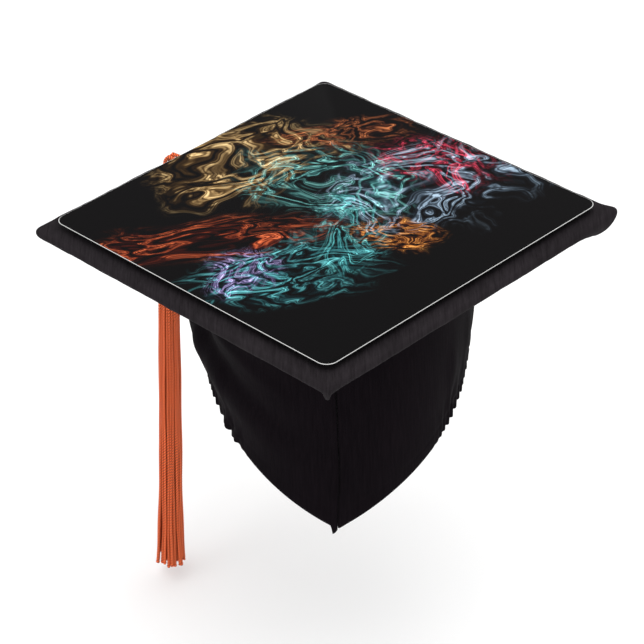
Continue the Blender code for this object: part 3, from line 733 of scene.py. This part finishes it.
# Short pale and dark fibres lie in all directions in the pressed card
finish_node("board_core", grained("pressed_greyboard", "TexNoise", {"Scale": 500.0, "Detail": 6.0, "Distortion": 1.5},
                                  "#8a7a62", "#c2b498", 0.0002, Roughness=0.93))
steel = plated_steel()
finish_node("button_shank", steel)
finish_node("button_washer", steel)
make_button()


# ---- Printed topper ----
# A thin die-cut sheet: a black backing under a white core, printed on top with fine
# coloured wisps on black and matt laminated. The white shows as a line round the print;
# the black of the lower cut edge is partly backing and partly painted shade under the edge.

TOPPER_CORNER = 0.0072
TOPPER_EASE = 0.00012
TOPPER_MARGIN = 0.00028
TOPPER_BACKING_AND_SHADE = 0.00058


def wisps(tree, place, centre, lean, size, lines, seed, dim, bright):
    """One cloud of fine coloured wisps: a soft oval of noise, itself bent by coarser
    noise, and the thin contour lines of that noise. centre and size are in metres."""
    own = add(tree, "Mapping", {"Vector": place, "Location": (*centre, 0.0),
                                "Rotation": (0, 0, math.radians(lean)), "Scale": (*size, 1.0)},
              vector_type="TEXTURE")
    bend = add(tree, "TexNoise", {"Vector": own, "W": seed, "Scale": 1.1, "Detail": 2.0},
               out=1, noise_dimensions="4D")
    bent = add(tree, "VectorMath", {0: bend, 1: (1.5, 1.5, 0.0), 2: own}, operation="MULTIPLY_ADD")
    bent = add(tree, "VectorMath", {0: bent, 1: (-0.75, -0.75, 0.0)}, operation="ADD")
    smoke = add(tree, "TexNoise", {"Vector": bent, "W": seed + 4.0, "Scale": 1.3, "Detail": 2.5,
                                   "Roughness": 0.45, "Distortion": 0.9}, noise_dimensions="4D")

    def contours(count):
        """The sine of the noise taken count turns round."""
        turned = add(tree, "Math", {0: smoke, 1: count * math.tau}, operation="MULTIPLY")
        return add(tree, "Math", {0: turned}, operation="SINE")

    crest = add(tree, "MapRange", {"Value": contours(lines), "From Min": -1.0, "From Max": 0.9})
    thread = add(tree, "Math", {0: crest, 1: 1.3}, operation="POWER")
    fine = add(tree, "TexNoise", {"Vector": bent, "W": seed + 9.0, "Scale": 5.0, "Detail": 5.0,
                                  "Roughness": 0.6, "Distortion": 1.8}, noise_dimensions="4D")
    broken = add(tree, "MapRange", {"Value": fine, "From Min": 0.36, "From Max": 0.62, "To Min": 0.12})
    away = add(tree, "VectorMath", {0: bent}, operation="LENGTH", out=1)
    inside = add(tree, "MapRange", {"Value": away, "From Min": 1.2, "From Max": 0.5},
                 interpolation_type="SMOOTHERSTEP")
    veil = add(tree, "MapRange", {"Value": smoke, "From Min": 0.36, "From Max": 0.6,
                                  "To Min": 0.4, "To Max": 1.5})
    # The finest parallel filaments: five to each contour line
    strands = add(tree, "MapRange", {"Value": contours(5 * lines), "From Min": -1.0, "From Max": 0.7,
                                     "To Min": 0.3})
    light = add(tree, "Math", {0: thread, 1: broken}, operation="MULTIPLY")
    light = add(tree, "Math", {0: light, 1: strands}, operation="MULTIPLY")
    body = add(tree, "Math", {0: light, 1: veil}, operation="MULTIPLY")
    shade = add(tree, "Math", {0: body, 1: inside}, operation="MULTIPLY")
    tone = add(tree, "Mix", {0: light, 6: linear(dim), 7: linear(bright)}, out=2, data_type="RGBA")
    return add(tree, "Mix", {0: shade, 6: (0, 0, 0, 1), 7: tone}, out=2, data_type="RGBA")


def printed_laminate():
    """Black ink under a matt film, with clouds of wisps added over each other."""
    material, tree, shader = new_material("digital_print_matt_laminate", Roughness=0.42,
                                          Specular_IOR_Level=0.02)
    place = add(tree, "TexCoord", out=3)
    picture = linear("#080708")
    clouds = (((-0.044, 0.060), 35, (0.064, 0.042), 9.0, 1.0, "#8a5f26", "#f4d296"),
              ((-0.002, 0.034), -20, (0.054, 0.040), 9.0, 12.0, "#137076", "#9aeee4"),
              ((0.012, -0.022), 80, (0.048, 0.022), 8.0, 23.0, "#127a84", "#7ce0dc"),
              ((-0.020, -0.060), 15, (0.060, 0.032), 9.0, 34.0, "#125c68", "#74d4d6"),
              ((-0.070, -0.026), 10, (0.070, 0.024), 9.0, 45.0, "#8c200c", "#ee7a48"),
              ((-0.046, -0.060), 60, (0.030, 0.022), 8.0, 56.0, "#66549a", "#d2c2f4"),
              ((0.068, 0.052), -35, (0.042, 0.034), 9.0, 67.0, "#8e0e28", "#ee4c68"),
              ((0.058, 0.028), 30, (0.068, 0.052), 10.0, 78.0, "#34465a", "#acc4d8"),
              ((0.040, -0.026), -15, (0.030, 0.018), 7.0, 89.0, "#b04c10", "#ffb65c"),
              ((0.010, 0.092), 10, (0.046, 0.020), 8.0, 95.0, "#6a2c18", "#c87848"))
    for cloud in clouds:
        picture = add(tree, "Mix", {0: 1.0, 6: picture, 7: wisps(tree, place, *cloud)}, out=2,
                      data_type="RGBA", blend_type="ADD")
    tree.links.new(picture, shader.inputs["Base Color"])
    grain = add(tree, "TexNoise", {"Vector": place, "Scale": 1800.0, "Detail": 2.0})
    tree.links.new(add(tree, "MapRange", {"Value": grain, "To Min": 0.36, "To Max": 0.5}),
                   shader.inputs["Roughness"])
    return material


def cut_plastic(name, low, high):
    """Polypropylene at its cut edge: a faint grain left by the die."""
    return grained(name, "TexNoise", {"Scale": 700.0, "Detail": 3.0}, low, high, 0.0, Roughness=0.55,
                   Specular_IOR_Level=0.2)


def make_topper():
    """Rounded-square rings up the cut edge and in across the margin, closed at both faces."""
    low, high = (corner[2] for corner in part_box("topper_sheet"))
    side = square_side("topper_sheet", TOPPER_CORNER)
    steps = ((TOPPER_EASE, low), (0.0, low + TOPPER_EASE), (0.0, low + TOPPER_BACKING_AND_SHADE),
             (0.0, high - TOPPER_EASE), (TOPPER_EASE, high - TOPPER_EASE / 4), (TOPPER_MARGIN, high))
    rings = np.stack([square_outline(side - 2 * inset, TOPPER_CORNER, per_corner=17, per_side=12)
                      for inset, _ in steps])
    height = np.array([z for _, z in steps])[:, None, None]
    points = np.concatenate([rings, np.broadcast_to(height, rings.shape[:2] + (1,))], axis=-1)
    # Below the white core the cut edge is black: partly backing, partly painted shade under the edge
    topper = grid_piece("topper_printed_sheet", points, cut_plastic("black_polypropylene_backing_and_edge_shade",
                                                                    "#0c0c0d", "#1c1c1e"), capped=True)
    topper.data.materials.append(cut_plastic("white_polypropylene_core", "#b4b4b2", "#dadad8"))
    topper.data.materials.append(printed_laminate())
    band = np.arange(len(topper.data.polygons)) // rings.shape[1]
    finish = np.where((band >= 2) & (band <= 4), 1, 0)
    finish[-1] = 2
    topper.data.polygons.foreach_set("material_index", finish.astype(np.int32))
    topper.data.set_sharp_from_angle(angle=math.radians(8))
    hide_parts("topper_sheet")
    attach(topper, "topper")


make_topper()


# ---- Hook and loop coins ----
# Round nylon touch fasteners: moulded hooks under the topper's corners, and brushed
# loops stuck to the board's cloth, so that the topper can be lifted off.

HOOK_SPACING = 0.0016
LOOP_SPACING = 0.0006
NYLON_RELIEF = 0.0005

# Black nylon whose surface stands up in hooks or in loops
hook_nylon = grained("nylon_hook_tape_moulded", "TexVoronoi", {"Scale": 1 / HOOK_SPACING}, "#3c3c3e", "#0d0d0e",
                     NYLON_RELIEF, Roughness=0.5, Sheen_Weight=0.1)
loop_nylon = grained("nylon_loop_tape_brushed", "TexNoise", {"Scale": 1 / LOOP_SPACING}, "#0d0d0e", "#444446",
                     NYLON_RELIEF, Roughness=0.9, Sheen_Weight=0.1)
for corner in ("left", "back", "right", "front"):
    finish_node("hook_coin_" + corner, hook_nylon)
    finish_node("loop_coin_" + corner, loop_nylon)


# ---- Crown ----
# Two halves of black gabardine, sewn to the board's underside and to each other at the
# centre front and back. Buckram keeps the front peak crisp; elastic gathers the rim
# from the temples round to the back.

CROWN_TOP = float(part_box("crown_panel_left")[1][2])
WIDTH_TOP, WIDTH_RIM = 0.085, 0.079
FRONT_TOP, FRONT_RIM = 0.104, 0.108
BACK_TOP, BACK_RIM = 0.100, 0.096
SIDE_DEPTH, PEAK_DEPTH = 0.082, 0.139
PEAK_SPREAD = math.radians(95)
PEAK_POWER = 1.43
CROWN_CLOTH = 0.0008
CROWN_LEAN = 0.0038
CROWN_SLACK = 0.0062
GATHER_PITCH = math.radians(3.1)
GATHER_START = math.radians(50)
CASING_WIDTH = 0.009
TAIL_LENGTH = 0.0060
TAIL_WIDTH = 0.0042
PLEATS = ((math.radians(50), 0.0020), (math.radians(56), 0.0024))
PLEAT_LEAN = 5.0
LEAN_DEPTH = 0.020
TIP_LEAN = 0.0022
# Size, share of the pitch's rate, start, height above the rim and reach of each gather
GATHERS = ((0.00075, 1.0, 0.0, 0.0, 0.009), (0.00055, 0.5, 0.7, 0.014, 0.010), (0.00060, 0.2, 2.0, 0.034, 0.020))
# Size, height above the rim and reach of the drag fold under the board
DRAG_FOLD = ((0.0030, 0.070, 0.007), (-0.0038, 0.049, 0.008))
# Size, distance from the seam and reach: its groove, and the ridge of its allowance
SEAM_FOLDS = ((-0.0009, 0.0, 0.0009), (0.0003, 0.0021, 0.0007))


def rim_depth(angle):
    """How far below the board the rim lies: the side depth, and towards the centre front
    the rest of the peak's depth times (1 - angle / spread) to the peak's power."""
    towards_front = np.clip(1 - np.abs(angle) / PEAK_SPREAD, 0, 1)
    return SIDE_DEPTH + (PEAK_DEPTH - SIDE_DEPTH) * towards_front ** PEAK_POWER


def crown_folds(angle, depth):
    """How far the cloth stands out and hangs down from the plain wall: gathers are cosines
    of the angle, fine at the rim and merging into wider ones above it; the seams and the
    casing's stitches are narrow grooves; pleats are one-sided bells."""
    above = rim_depth(angle) - depth
    away = np.abs(angle)
    gathered = 1 / (1 + np.exp(-(away - GATHER_START) / math.radians(2.5)))
    turn = math.tau * away / GATHER_PITCH + 1.4 * np.sin(7 * angle + 1.0) + 1.0 * np.sin(19 * angle + 2.0)
    strength = 1 + 0.5 * np.sin(23 * angle + 0.5) * np.sin(9 * angle + 2.0)
    out = gathered * strength * sum(size * np.cos(rate * turn + start) * near(above - height, reach)
                                    for size, rate, start, height, reach in GATHERS)
    slack = np.where(angle < 0, 1.0, 0.35) * CROWN_SLACK * np.sin(angle) ** 2
    out = out + slack * near(above - 0.031, np.where(angle < 0, 0.014, 0.024))
    out = out - gathered * 0.0005 * near(above, 0.006)
    # A drag fold under the board on the side where the cloth is slack
    fold = sum(size * near(above - height, reach) for size, height, reach in DRAG_FOLD)
    out = out + np.where(angle < 0, 1.0, 0.0) * fold * np.sin(angle) ** 2
    drop = gathered * 0.0006 * np.cos(turn + 0.6) * near(above, 0.005)
    out = out - (0.15 + 0.30 * gathered) * 0.001 * near(above - CASING_WIDTH, 0.0009)
    out = out + 0.0006 * np.sin(3.1 * angle + 0.6) * np.sin(math.pi * np.clip(depth / 0.12, 0, 1))
    from_front, from_back = FRONT_TOP * away, BACK_TOP * (math.pi - away)
    for seam in (from_front, from_back):
        out = out + sum(size * near(seam - place, reach) for size, place, reach in SEAM_FOLDS)
        out = out + np.where(angle > 0, 0.00022, 0.0) * near(seam - 0.0039, 0.0006)
    for place, size in PLEATS:
        across = (angle + place - PLEAT_LEAN * np.maximum(above, 0)) * FRONT_TOP
        out = out + size * near(np.where(across > 0, 3.0, 1.0) * across, 0.0042) * near(above - 0.004, 0.011)
    drop = drop + np.where(angle < 0, TAIL_LENGTH, 0.0) * near(above, 0.010) * np.interp(
        from_front, (0.0, TAIL_WIDTH, 1.2 * TAIL_WIDTH), (0.2, 1.0, 0.0))
    return out, drop


def crown_wall(angle, depth, inset):
    """The crown's oval wall: x = width sin(angle) and y = -length cos(angle), where width
    and length change evenly with depth and stand out by the folds, less inset. It leans
    a little to one side as it hangs."""
    angle, depth = np.broadcast_arrays((angle + math.pi) % math.tau - math.pi, depth)
    out, drop = crown_folds(angle, depth)
    width = WIDTH_TOP + (WIDTH_RIM - WIDTH_TOP) * np.minimum(1, depth / SIDE_DEPTH)
    front = FRONT_TOP + (FRONT_RIM - FRONT_TOP) * depth / PEAK_DEPTH
    back = BACK_TOP + (BACK_RIM - BACK_TOP) * depth / SIDE_DEPTH
    length = np.where(np.cos(angle) > 0, front, back)
    lean = CROWN_LEAN * (1 - np.exp(-depth / LEAN_DEPTH)) - TIP_LEAN * np.clip(depth / 0.034 - 3.0, 0, 1)
    return np.stack([(width - inset + out) * np.sin(angle) + lean,
                     -(length - inset + out) * np.cos(angle), CROWN_TOP - depth - drop], axis=-1)


def wall_piece(name, node, material, span, inset, thickness, top, bottom, rows, columns):
    """A strip of the wall between two angles in degrees and two depths, each a depth or a
    function of the angle, worked out from its lower edge up. UV is metres round and down."""
    angle = np.radians(np.linspace(*span, columns))
    wrapped = (angle + math.pi) % math.tau - math.pi
    upper, lower = (np.broadcast_to(edge(wrapped) if callable(edge) else edge, angle.shape)
                    for edge in (top, bottom))
    depth = lower + (upper - lower) * np.linspace(0, 1, rows)[:, None]
    uv = np.stack(np.broadcast_arrays(angle * 0.098, depth), axis=-1)
    piece = grid_piece(name, crown_wall(angle, depth, inset), material, uv, closed=False)
    solidify(piece, thickness)
    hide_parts(node)
    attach(piece, "root")
    return piece


# The crown's cloth is the board's gabardine painted darker: painted shade under the board
crown_gabardine_painted_shade = gabardine("polyester_gabardine_crown_painted_shade", "#070407", "#120d11",
                            (1 / RIB_SPACING, 1 / RIB_SPACING, 60))
for side, span in (("left", (0.05, 179.95)), ("right", (-179.95, -0.05))):
    panel = wall_piece("crown_half_" + side, "crown_panel_" + side, crown_gabardine_painted_shade, span,
                       0.0, CROWN_CLOTH, 0.0, rim_depth, 72, 421)


# ---- Inside the crown ----
# A taffeta lining closes the top, with a bias tape over its seam. Buckram and a cotton
# sweatband stiffen the front, twill tape covers both seams, and knitted elastic runs
# in the casing of the gathered rim.

LAYER_GAP = 0.0003
LINING_DEPTH = 0.0021
INSIDE = 0.0013
BINDING_BOTTOM = 0.0104
ELASTIC_WIDTH = 0.007
SWEATBAND_WIDTH = 0.024
PEAK_END = 48.0
TAPE_HALF = 3.5


def woven(name, low, high, thread, sheen=0.1, rough=0.8):
    """A plain weave: warp and weft threads cross as the product of two sines, thread
    metres apart, and every thread varies a little in tone."""
    made = new_material(name, Roughness=rough, Sheen_Weight=sheen)
    tree = made[1]
    uv = add(tree, "UVMap", uv_map="along")
    scaled = add(tree, "VectorMath", {0: uv, "Scale": math.pi / thread}, operation="SCALE")
    waves = add(tree, "VectorMath", {0: scaled}, operation="SINE")
    split = tree.nodes.new("ShaderNodeSeparateXYZ")
    tree.links.new(waves, split.inputs[0])
    crossing = add(tree, "Math", {0: split.outputs["X"], 1: split.outputs["Y"]}, operation="MULTIPLY")
    relief = add(tree, "MapRange", {"Value": crossing, "From Min": -1.0, "From Max": 1.0})
    slub = add(tree, "TexNoise", {"Vector": scaled, "Scale": 0.4, "Detail": 3.0})
    tone = add(tree, "Mix", {0: 0.45, 2: relief, 3: slub})
    colour = add(tree, "Mix", {0: tone, 6: linear(low), 7: linear(high)}, out=2, data_type="RGBA")
    return surface(made, colour, relief, thread / 3, 0.6)


def make_lining():
    """An oval disc from a square of u and v: x = u root(1 - v^2 / 2), y = v root(1 - u^2 / 2),
    stretched to the crown's top, with slack waves that die out at its seam."""
    u, v = np.meshgrid(np.linspace(-1, 1, 70), np.linspace(-1, 1, 70))
    across, along = u * np.sqrt(1 - v ** 2 / 2), v * np.sqrt(1 - u ** 2 / 2)
    x = across * (WIDTH_TOP - INSIDE)
    y = along * (np.where(along > 0, BACK_TOP, FRONT_TOP) - INSIDE)
    middle = np.clip(1 - across ** 2 - along ** 2, 0, 1)
    slack = 0.0004 * (np.sin(x / 0.017 + 0.5) * np.sin(y / 0.021) - 1) * middle
    height = np.where(across ** 2 + along ** 2 > 0.99, 0.0004, 0.0) + slack
    points = np.stack([x + CROWN_LEAN * (1 - math.exp(-LINING_DEPTH / LEAN_DEPTH)), y, height], axis=-1)
    lining = grid_piece("crown_lining_disc", points[:, ::-1], taffeta, np.stack([x, y], axis=-1)[:, ::-1],
                        closed=False)
    solidify(lining, 0.0006)
    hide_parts("crown_lining")
    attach(lining, "root")


def above_rim(width):
    """The depth of a line that runs width above the rim."""
    return lambda angle: rim_depth(angle) - width


taffeta = woven("acetate_taffeta_plain_woven", "#101012", "#34343a", 0.0006, sheen=0.3, rough=0.5)
twill_tape = woven("cotton_twill_tape", "#131315", "#303034", 0.0007)
buckram = woven("starched_buckram_open_weave", "#8f8770", "#cbc4ae", 0.0012, rough=0.9)
sweat_cotton = woven("cotton_drill_sweatband", "#121214", "#3a3a40", 0.0008, sheen=0.15, rough=0.9)
elastic_knit = woven("knitted_elastic_ribbed", "#1b1b1d", "#4a4a4e", 0.0010, rough=0.85)
make_lining()
rim_edge = above_rim(LAYER_GAP)
below_binding = BINDING_BOTTOM + LAYER_GAP
wall_piece("crown_seam_bias_tape", "crown_seam_binding", taffeta, (-180, 180),
           INSIDE, 0.0009, 0.0024, BINDING_BOTTOM, 5, 361)
for side, middle, lower, flat in (("front", 0, rim_edge, (0.0128, 0.128)),
                                  ("back", 180, above_rim(ELASTIC_WIDTH + 2 * LAYER_GAP), (0.0122, 0.064))):
    tape = wall_piece(side + "_seam_twill_tape", side + "_seam_tape", twill_tape,
                      (middle - TAPE_HALF, middle + TAPE_HALF), INSIDE, 0.0007, below_binding, lower, 50, 41)
for side, span in (("left", (TAPE_HALF + 0.17, PEAK_END)), ("right", (-PEAK_END, -TAPE_HALF - 0.17))):
    stiffener = wall_piece("front_buckram_" + side, "front_stiffener_" + side, buckram, span,
                           INSIDE, 0.0007, below_binding, above_rim(0.0016), 60, 121)
sweatband = wall_piece("front_sweatband_cotton", "front_sweatband", sweat_cotton,
                       (-PEAK_END, PEAK_END), INSIDE + 0.0011, 0.0009, above_rim(SWEATBAND_WIDTH),
                       rim_edge, 24, 241)
wall_piece("knitted_elastic", "elastic_band", elastic_knit, (54, 306), INSIDE, 0.0009,
           above_rim(ELASTIC_WIDTH + LAYER_GAP), rim_edge, 9, 601)
